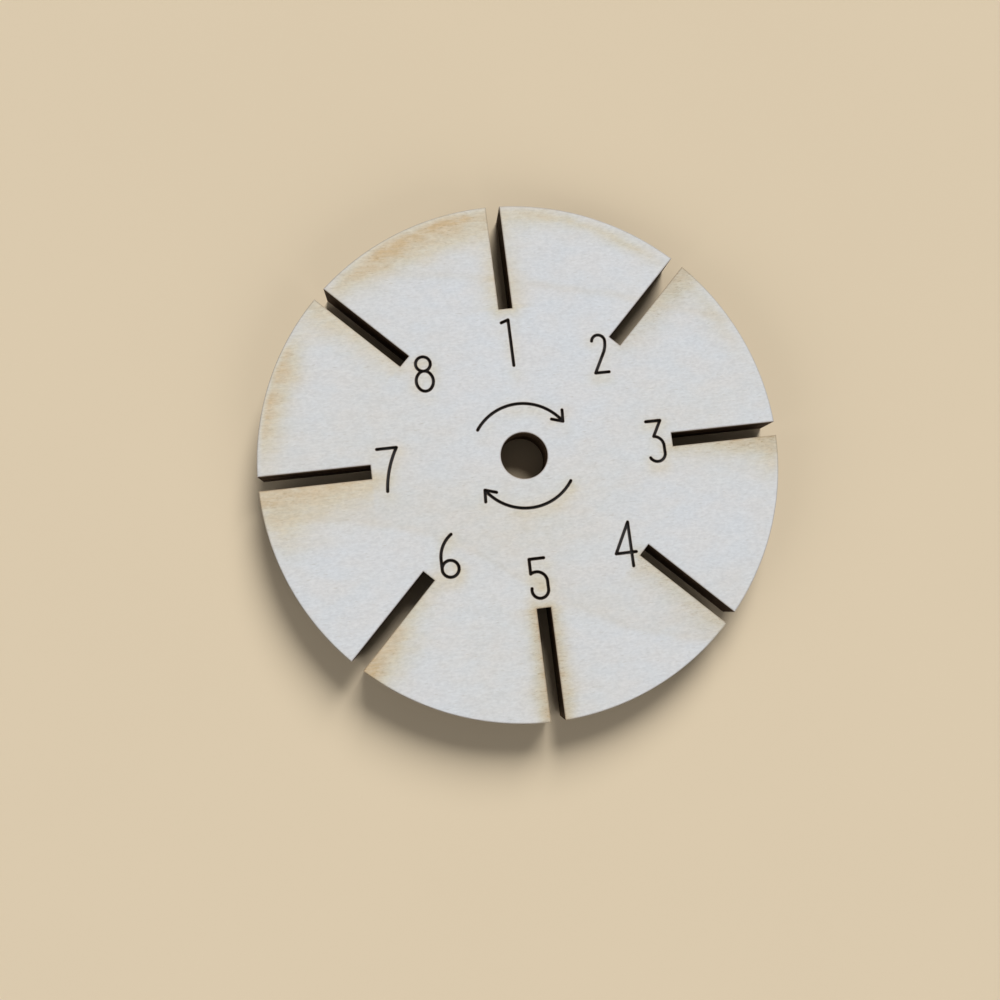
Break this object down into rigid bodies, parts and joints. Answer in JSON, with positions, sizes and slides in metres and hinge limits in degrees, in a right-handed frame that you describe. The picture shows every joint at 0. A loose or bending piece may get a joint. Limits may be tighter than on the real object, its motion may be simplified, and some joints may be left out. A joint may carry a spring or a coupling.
{
  "type": "braiding disk",
  "caption": "Flat round plywood kumihimo disk with radial thread slots at the rim, a centre hole for the braid and an engraved number beside each slot.",
  "frame": {"origin": "middle of the centre hole, on the back face", "axes": "+Z out of the engraved front face, +Y towards slot 1 and +X towards slot 3"},
  "size_m": [0.089, 0.089, 0.006],
  "materials": {
    "front_face": "pale sanded veneer, unfinished, with charred engraving and smoke stains",
    "back_face": "pale sanded veneer, unfinished, with smoke stains along the cuts",
    "crossband": "laser cut edge, charred dark brown",
    "core": "laser cut edge, charred dark brown",
    "glue_film": "cured resin film, charred at the cut edge"
  },
  "bodies": {
    "root": {"back_face_veneer": "back_face", "back_glue_line": "glue_film", "back_crossband": "crossband", "lower_core_glue_line": "glue_film", "core_veneer": "core", "upper_core_glue_line": "glue_film", "front_crossband": "crossband", "front_glue_line": "glue_film", "front_face_veneer": "front_face"}
  },
  "joints": []
}
